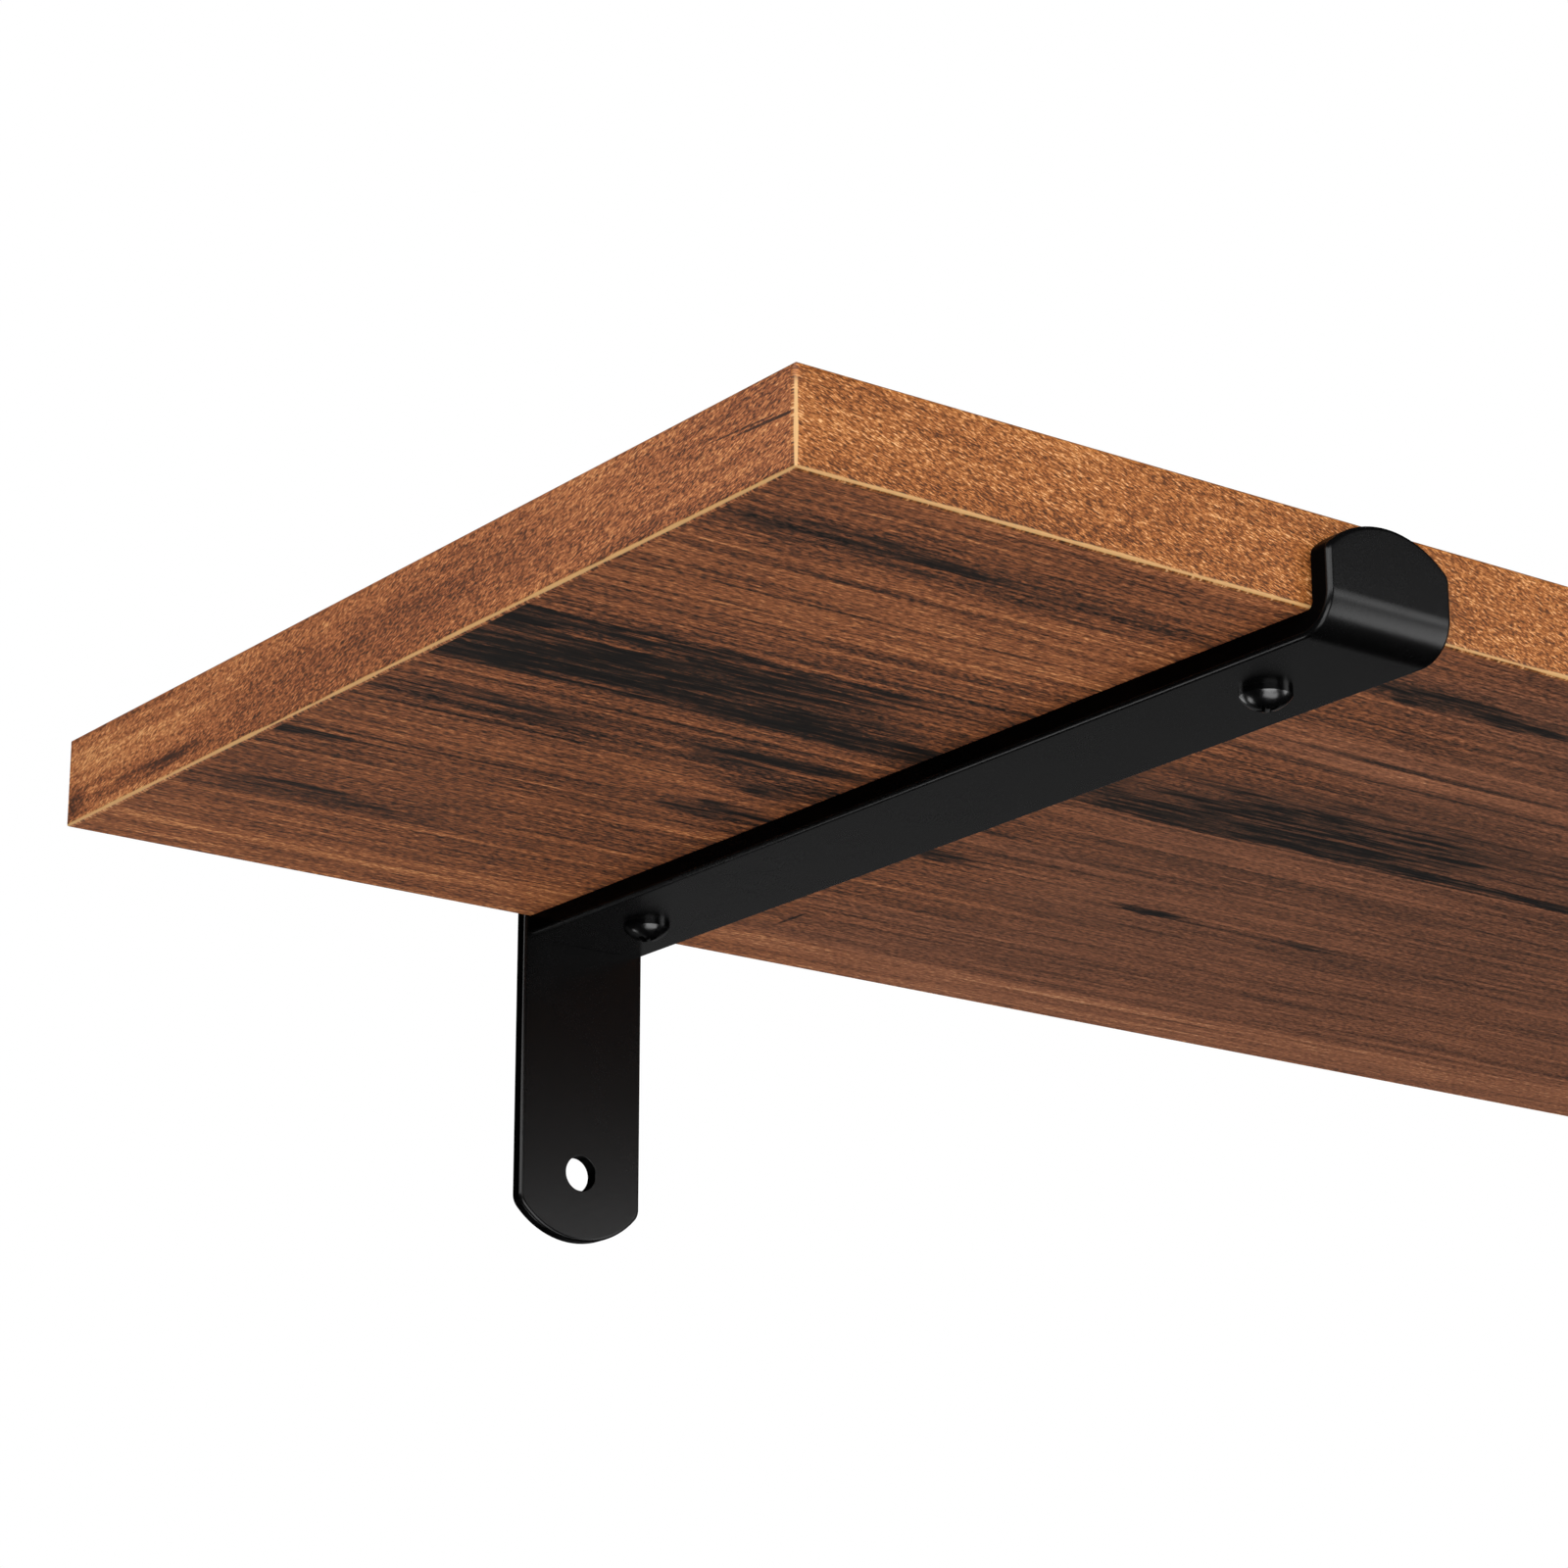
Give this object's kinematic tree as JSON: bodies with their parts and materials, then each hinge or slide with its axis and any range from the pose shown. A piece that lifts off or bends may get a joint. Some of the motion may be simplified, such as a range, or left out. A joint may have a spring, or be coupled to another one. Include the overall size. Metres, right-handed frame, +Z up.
{
  "type": "wall shelf",
  "caption": "Wall shelf: a rectangular laminated board lying on flat black steel brackets, each a wall plate with an arm that hooks over the board's front edge.",
  "frame": {"origin": "middle of the four wall holes, on the wall, half-way up the board's thickness", "axes": "+X along the shelf, +Y into the wall, +Z up"},
  "size_m": [0.6, 0.2064, 0.128],
  "materials": {
    "core": "bare chipboard",
    "laminate": "dark rustic wood grain, matt",
    "long_band": "lighter rustic wood grain, worn pale along the edges",
    "end_band": "rustic wood grain, worn pale along the edges",
    "steel": "satin black powder coat",
    "screw": "glossy black"
  },
  "bodies": {
    "root": {"board_core": "core", "top_laminate": "laminate", "bottom_laminate": "laminate", "front_edge_band": "long_band", "back_edge_band": "long_band", "left_edge_band": "end_band", "right_edge_band": "end_band", "left_wall_plate": "steel", "left_hooked_arm": "steel", "left_front_screw": "screw", "left_rear_screw": "screw", "right_wall_plate": "steel", "right_hooked_arm": "steel", "right_front_screw": "screw", "right_rear_screw": "screw"}
  },
  "joints": []
}
